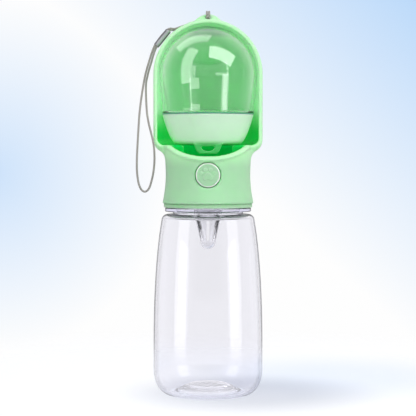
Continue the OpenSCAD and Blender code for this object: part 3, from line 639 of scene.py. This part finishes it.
def make_bottle():
    """The blown bottle: one wall from its base up to the mouth and down again inside."""
    corner = (SHOULDER_R - SHOULDER_ROUND, SHOULDER_Z - SHOULDER_ROUND)
    side = bend((BOTTLE_R, SHOULDER_Z * 0.27), (BOTTLE_R, SHOULDER_Z * 0.58),
                (SHOULDER_R + 3.3, SHOULDER_Z * 0.82), (SHOULDER_R, corner[1]), 24)
    # the pushed-up base: a dished floor with two moulded rings and a button at its centre
    punt_out = [(0, 6.4), (4.2, 6.4, 0.4), (4.9, 7.0, 0.4), (9, 6.7), (13, 5.9, 0.4),
                (13.6, 5.3, 0.4), (17, 4.3), (19.2, 3.3, 0.4), (19.8, 2.7, 0.4),
                (21.4, 1.6), (FOOT_IN, 0, 0.8)]
    heel = oval((FOOT_OUT, HEEL_H), BOTTLE_R - FOOT_OUT, HEEL_H, -90, 0, 20)
    heel_in = oval((FOOT_OUT, HEEL_H), BOTTLE_R - FOOT_OUT - BOTTLE_WALL,
                   HEEL_H - BOTTLE_WALL, 0, -90, 20)
    punt_in = [(20.5, 3.4), (17, 6), (12, 7.8), (6, 8.6), (0, 8.8)]
    neck = [(NECK_R + 3.4, SHOULDER_Z), (NECK_R, SHOULDER_Z, 0.8), (NECK_R, RING_LOW, 0.5),
            (RING_R, RING_LOW, 0.7), (RING_R, RING_HIGH, 0.7), (NECK_R, RING_HIGH, 0.5),
            (NECK_R, MOUTH_Z, 0.4), (NECK_IN, MOUTH_Z, 0.4),
            (NECK_IN, SHOULDER_Z - BOTTLE_WALL, 1.4)]
    outline = (punt_out + heel + side + oval(corner, *[SHOULDER_ROUND] * 2, 8, 84, 10) + neck
               + oval(corner, *[SHOULDER_ROUND - BOTTLE_WALL] * 2, 84, 8, 10)
               + shifted(reversed(side), -BOTTLE_WALL, 0) + heel_in + punt_in)
    bm = bmesh.new()
    lathe(bm, outline, 224, False)
    bottle = finish(bm, "bottle_blown", "bottle", bottle_copolyester, "clear_bottle", "bottle",
                    sharp=20)
    # light reaches the table and the cage through the clear wall
    bottle.visible_shadow = False


def make_thread():
    """Nearly a turn and a half of low screw thread on the bottle's neck."""
    inset = (THREAD_FOOT - THREAD_TOP) / 2
    bm = bmesh.new()
    lathe(bm, [(NECK_R - THREAD_SUNK, THREAD_Z), (NECK_R + THREAD_PROUD, THREAD_Z + inset),
               (NECK_R + THREAD_PROUD, THREAD_Z + THREAD_FOOT - inset),
               (NECK_R - THREAD_SUNK, THREAD_Z + THREAD_FOOT)],
          180, True, angle=math.radians(THREAD_DEG), rise=THREAD_PITCH * THREAD_DEG / 360)
    ends = [e for e in bm.edges if e.is_boundary]
    bmesh.ops.holes_fill(bm, edges=ends, sides=8)
    finish(bm, "bottle_thread", "bottle", bottle_copolyester, "clear_bottle")


make_bottle()
make_thread()

# ---- head ----

moulded_copy("head_shell", "head_moulding", "head", mint_pp, "mint_shell", 0.82, 3)

# ---- food capsule ----

bowl = moulded_copy("bowl", "bowl_moulding", "capsule", milky_pp, "pale_bowl", 0.5, 4)
# the thin milky wall lets light into the recess behind it
bowl.visible_shadow = False

SPIGOT_R, DOME_FOOT_R, DOME_R, DOME_WALL = 29.7, 32.4, 34.6, 1.8
DOME_Z, DOME_MID_Z, SPIGOT_Z = 199.3, 226.6, 195.5


def make_dome():
    """The clear dome: a round cap on a side that draws in to its foot, and the spigot."""
    side = bend((DOME_FOOT_R, DOME_Z), (DOME_FOOT_R + 0.1, DOME_Z + 8.2),
                (DOME_R, DOME_Z + 16.4), (DOME_R, DOME_MID_Z), 16)
    cap = oval((0, DOME_MID_Z), DOME_R, DOME_R, 3, 90, 40)
    cap_in = oval((0, DOME_MID_Z), DOME_R - DOME_WALL, DOME_R - DOME_WALL, 90, 3, 40)
    cap[-1], cap_in[0] = (0, DOME_MID_Z + DOME_R), (0, DOME_MID_Z + DOME_R - DOME_WALL)
    side_in = [p for p in shifted(reversed(side), -DOME_WALL, 0) if p[1] > DOME_Z + 1.4]
    spigot = [(SPIGOT_R - DOME_WALL, DOME_Z + 0.4, 0.4), (SPIGOT_R - DOME_WALL, SPIGOT_Z, 0.4),
              (SPIGOT_R, SPIGOT_Z, 0.4), (SPIGOT_R, DOME_Z, 0.3), (DOME_FOOT_R, DOME_Z, 0.5)]
    bm = bmesh.new()
    lathe(bm, cap_in + side_in + spigot + side[1:] + cap, 192, False)
    dome = finish(bm, "dome_moulding", "dome", dome_styrene, "clear_dome", "dome_cup",
                  sharp=25)
    # light reaches the food and the hood behind it through the clear wall
    dome.visible_shadow = False
    dome.visible_diffuse = False


make_dome()

# ---- button ----

moulded_copy("button", "button_moulding", "button", mint_button_pp, "mint_button", 0.2, 3)

# ---- pieces that keep their CAD shape ----

# a lower angle than the others' keeps the tube straight above its cone
placed(merged_copy("inlet_cage"), "inlet_cage_finished", "head", cage_styrene, "clear_cage",
       "inlet_cage", sharp=12)

for node, body, material, slot in [
        ("inner_cap", "head", mint_band_pp, "mint_band"),
        ("cap_gasket", "sealing_ring", white_silicone, "white_silicone"),
        ("valve_barrel", "head", valve_acetal, "valve_plastic"),
        ("barrel_gasket", "head", white_silicone, "white_silicone"),
        ("barrel_plug", "head", valve_acetal, "valve_plastic"),
        ("plug_oring", "head", black_nitrile, "black_rubber"),
        ("stem_oring", "head", black_nitrile, "black_rubber"),
        ("gland_washer", "head", valve_acetal, "valve_plastic"),
        ("outlet_seal", "head", white_silicone, "white_silicone"),
        ("valve_stem", "button", valve_acetal, "valve_plastic"),
        ("valve_seal", "button", black_nitrile, "black_rubber"),
        ("dome_seal", "capsule", teal_silicone, "dark_seal")]:
    placed(merged_copy(node), node + "_finished", body, material, slot, node)

spring = shaded(merged_copy("button_spring"), "button_spring_finished", spring_steel)
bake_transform(spring)
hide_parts("button_spring")

# ---- studio ----

LAMP_BACK = 1.2
STAGE_MIDDLE = Vector((0, 0, 0.16))


def softbox(name, away, along, size, radiance, mirrored):
    """A rectangular lamp that faces the bottle from one direction, and whose first side
    runs along another. One that is mirrored shows only in gloss and glass, as a reflector
    card does; the others only light."""
    lamp = bpy.data.lights.new(name, "AREA")
    lamp.shape = "RECTANGLE"
    lamp.size, lamp.size_y = size
    lamp.energy = radiance * math.pi * size[0] * size[1]
    facing = Vector(away).normalized()
    across = (Vector(along) - facing * facing.dot(Vector(along))).normalized()
    turn = Matrix((across, facing.cross(across), facing)).transposed()
    piece = bpy.data.objects.new(name, lamp)
    piece.matrix_world = (Matrix.Translation(STAGE_MIDDLE + Vector(away) * LAMP_BACK)
                          @ turn.to_4x4())
    piece.visible_camera = False
    piece.visible_glossy = piece.visible_transmission = mirrored
    piece.visible_diffuse = not mirrored
    bpy.context.scene.collection.objects.link(piece)
    return piece


def shown_in(lamp, *pieces):
    """Keeps a lamp to the gloss of some pieces, as flags would in the studio."""
    receivers = bpy.data.collections.new(lamp.name)
    for piece in pieces:
        receivers.objects.link(bpy.data.objects[piece])
    lamp.light_linking.receiver_collection = receivers


# what lights the bottle: fills from the front, the top, below and behind, and two sides of
# which the right is stronger: away, along, size, radiance
for name, *box in [
        ("front_fill", (0, -1, 0.12), (1, 0, 0), (0.7, 0.7), 2.8),
        ("top_fill", (0, -0.35, 0.95), (1, 0, 0), (0.7, 0.7), 2.5),
        ("floor_bounce", (0, -0.75, -0.6), (1, 0, 0), (0.9, 0.6), 2.4),
        ("key_left", (-0.87, -0.47, 0.35), (0.47, -0.87, 0), (0.7, 1.1), 2.1),
        ("key_right", (0.87, -0.47, 0.35), (0.47, 0.87, 0), (0.7, 1.1), 3.65),
        ("back_fill", (0.3, 0.95, 0.5), (0.95, -0.3, 0), (0.9, 0.9), 1.5)]:
    softbox(name, *box, False)
# tall strips at both sides that show in the bottle, its cage and the cord's sleeve
for side in (-1, 1):
    strip = softbox("strip", (side * 0.879, -0.477, 0.14), (0.477, side * 0.879, 0),
                    (0.62, 1.1), 1.3, True)
    shown_in(strip, "bottle_blown", "bottle_thread", "inlet_cage_finished", "lanyard_sleeve")
# cards that show in the dome: away, along, size, radiance
for card in [((-0.81, -0.59, 0.53), (0.59, -0.81, 0), (0.64, 1.6), 3.0),
             ((-0.53, -0.85, -0.04), (0.85, -0.53, 0), (0.5, 0.16), 2.6),
             ((-0.37, 0.14, 0.92), (0.757, -0.19, 0.345), (1.13, 0.5), 2.0),
             ((0.474, -0.514, 0.715), (0.765, 0.223, -0.367), (1.17, 0.68), 5.0),
             ((0.73, -0.68, 0.34), (0.68, 0.73, 0), (0.07, 0.66), 4.0),
             ((0.639, -0.769, -0.15), (0.769, 0.639, 0), (0.3, 0.62), 2.6)]:
    shown_in(softbox("dome_card", *card, True), "dome_moulding")


def backdrop_rays(tree):
    """1 for the rays that should see the backdrop: the camera's, and those in gloss or glass."""
    rays = add(tree, "ShaderNodeLightPath").outputs
    two = add(tree, "ShaderNodeMath", {
        0: rays["Is Camera Ray"], 1: rays["Is Glossy Ray"]}, operation="MAXIMUM")
    return add(tree, "ShaderNodeMath", {
        0: two, 1: rays["Is Transmission Ray"]}, operation="MAXIMUM")


# places on the backdrop are directions, as unit vectors, and reaches are distances between
# them; the slope is how fast the blue grows along each axis
BLUE_SLOPE = (4.05, 0, 4.46)
BLUE_PATCH = (-0.143, 0.99, -0.009)
BLUE_PATCH_REACH, BLUE_PATCH_SHARE = 0.118, 0.78
BACKDROP_WHITE, BACKDROP_BLUE = "#FEFEFE", "#BCDAFA"
ROOM_DIM = 0.3
FILL_HEX, FILL_STRENGTH = "#FAFCFF", 0.25


def backdrop_tones(tree, way, parts, rays):
    """White, growing blue towards the top right, with a blue patch low on the left. Only
    the camera sees the blue."""
    slope = add(tree, "ShaderNodeVectorMath", {0: way, 1: BLUE_SLOPE}, operation="DOT_PRODUCT")
    high = add(tree, "ShaderNodeMapRange", {
        "Value": slope, "From Min": 0.02, "From Max": 1.02})
    off = add(tree, "ShaderNodeVectorMath", {0: way, 1: BLUE_PATCH}, operation="DISTANCE")
    low = add(tree, "ShaderNodeMapRange", {
        "Value": off, "From Min": 0.0, "From Max": BLUE_PATCH_REACH,
        "To Min": BLUE_PATCH_SHARE, "To Max": 0.0})
    blue = add(tree, "ShaderNodeMath", {0: high, 1: low}, operation="MAXIMUM")
    near = add(tree, "ShaderNodeMapRange", {
        "Value": parts["Y"], "From Min": 0.9, "From Max": 0.97},
        interpolation_type="SMOOTHSTEP")
    seen_blue = add(tree, "ShaderNodeMath", {
        0: near, 1: rays["Is Camera Ray"]}, operation="MULTIPLY")
    blue = add(tree, "ShaderNodeMath", {0: blue, 1: seen_blue}, operation="MULTIPLY")
    return add(tree, "ShaderNodeMix", {
        "Factor": blue, "A": linear(BACKDROP_WHITE), "B": linear(BACKDROP_BLUE)},
        data_type="RGBA")


def room_strength(tree, parts, rays):
    """How bright the room is for gloss and glass: the camera always sees it in full."""
    # gloss shows a dim room in front of the bottle and right behind it, which lines the
    # edges of the clear walls
    ahead = add(tree, "ShaderNodeMapRange", {
        "Value": parts["Y"], "From Min": -0.7, "From Max": 0.6, "To Min": ROOM_DIM, "To Max": 1.0},
        interpolation_type="SMOOTHSTEP")
    behind = add(tree, "ShaderNodeMapRange", {
        "Value": parts["Y"], "From Min": 0.82, "From Max": 0.95, "To Min": 1.0, "To Max": ROOM_DIM},
        interpolation_type="SMOOTHSTEP")
    gloss = add(tree, "ShaderNodeMath", {0: ahead, 1: behind}, operation="MULTIPLY")
    # a wall seen from inside mirrors a dim camera side
    inner = add(tree, "ShaderNodeMapRange", {
        "Value": parts["Y"], "From Min": -0.95, "From Max": -0.72,
        "To Min": ROOM_DIM, "To Max": 1.0}, interpolation_type="SMOOTHSTEP")
    # light that only passed through stays bright: it met an even number of surfaces, and
    # Cycles counts one more here
    passed = add(tree, "ShaderNodeMath", {0: rays["Ray Depth"], 1: 2.0}, operation="MODULO")
    # and the white table lights what is turned back low down
    table = add(tree, "ShaderNodeMapRange", {
        "Value": parts["Z"], "From Min": -0.03, "From Max": 0.01, "To Min": 1.0, "To Max": 0.0},
        interpolation_type="SMOOTHSTEP")
    bright = add(tree, "ShaderNodeMath", {0: passed, 1: table}, operation="MAXIMUM")
    glass = add(tree, "ShaderNodeMix", {"Factor": bright, "A": inner, "B": 1.0})
    # rays that passed through a clear wall count as glossy too
    mirrored = add(tree, "ShaderNodeMath", {
        0: rays["Is Glossy Ray"], 1: rays["Is Transmission Ray"]},
        operation="SUBTRACT", use_clamp=True)
    room = add(tree, "ShaderNodeMix", {"Factor": mirrored, "A": glass, "B": gloss})
    return add(tree, "ShaderNodeMath", {
        0: room, 1: rays["Is Camera Ray"]}, operation="MAXIMUM")


def make_world():
    """A pale studio, and a weaker even light from it on all that isn't glossy or clear."""
    world = bpy.data.worlds.new("studio")
    world.use_nodes = True
    tree = world.node_tree
    tree.nodes.clear()
    way = add(tree, "ShaderNodeTexCoord").outputs["Generated"]
    parts = add(tree, "ShaderNodeSeparateXYZ", {"Vector": way}).outputs
    rays = add(tree, "ShaderNodeLightPath").outputs
    seen = add(tree, "ShaderNodeBackground", {
        "Color": backdrop_tones(tree, way, parts, rays),
        "Strength": room_strength(tree, parts, rays)})
    fill = add(tree, "ShaderNodeBackground", {
        "Color": linear(FILL_HEX), "Strength": FILL_STRENGTH})
    both = add(tree, "ShaderNodeMixShader", {0: backdrop_rays(tree), 1: fill, 2: seen})
    add(tree, "ShaderNodeOutputWorld", {"Surface": both})
    bpy.context.scene.world = world


FLOOR_R = 0.5
FLOOR_FADE = (0.1, 0.42)
# painted shadows: a grey round the foot, and a cool tone behind it on the right: middle, reach,
# colour
FLOOR_SHADOWS = [((0.03, 0, 0), (0.03, 0.11), "#D0D2D9"), ((0.11, 0.09, 0), (0.03, 0.16), "#E8EFFA")]


def table_laminate():
    """White laminate that glows a little for the camera, gloss and glass, so that it meets
    the backdrop without an edge, with painted shadows round the bottle in that glow, and
    lets the backdrop through further from the bottle."""
    material = bpy.data.materials.new("white_table_laminate")
    material.use_nodes = True
    tree = material.node_tree
    tree.nodes.clear()
    matt = add(tree, "ShaderNodeBsdfDiffuse", {"Color": linear("#9A9DA4")})
    place = add(tree, "ShaderNodeTexCoord").outputs["Object"]
    tones = []
    # painted shadows in the floor's glow, each fading to white
    for middle, reach, code in FLOOR_SHADOWS:
        out = add(tree, "ShaderNodeVectorMath", {0: place, 1: middle}, operation="DISTANCE")
        white = add(tree, "ShaderNodeMapRange", {
            "Value": out, "From Min": reach[0], "From Max": reach[1]},
            interpolation_type="SMOOTHSTEP")
        tones.append(add(tree, "ShaderNodeMix", {
            "Factor": white, "A": linear(code), "B": linear("#FFFFFF")}, data_type="RGBA"))
    tone = add(tree, "ShaderNodeMix", {
        "Factor": 1.0, "A": tones[0], "B": tones[1]}, data_type="RGBA", blend_type="MULTIPLY")
    lift = add(tree, "ShaderNodeEmission", {"Color": tone, "Strength": 0.75})
    no_lift = add(tree, "ShaderNodeEmission", {"Strength": 0.0})
    lifted = add(tree, "ShaderNodeMixShader", {0: backdrop_rays(tree), 1: no_lift, 2: lift})
    table = add(tree, "ShaderNodeAddShader", {0: matt, 1: lifted})
    far = add(tree, "ShaderNodeVectorMath", {0: place}, operation="LENGTH")
    fade = add(tree, "ShaderNodeMapRange", {
        "Value": far, "From Min": FLOOR_FADE[0], "From Max": FLOOR_FADE[1]},
        interpolation_type="SMOOTHSTEP")
    gone = add(tree, "ShaderNodeBsdfTransparent")
    both = add(tree, "ShaderNodeMixShader", {0: fade, 1: table, 2: gone})
    add(tree, "ShaderNodeOutputMaterial", {"Surface": both})
    return material


def make_floor():
    """The round top of the table that the bottle stands on."""
    bm = bmesh.new()
    bmesh.ops.create_circle(bm, cap_ends=True, radius=FLOOR_R, segments=96)
    mesh = bpy.data.meshes.new("floor")
    bm.to_mesh(mesh)
    bm.free()
    mesh.materials.append(table_laminate())
    floor = bpy.data.objects.new("floor", mesh)
    bpy.context.scene.collection.objects.link(floor)


make_world()
make_floor()
bpy.context.scene.view_settings.view_transform = "Standard"
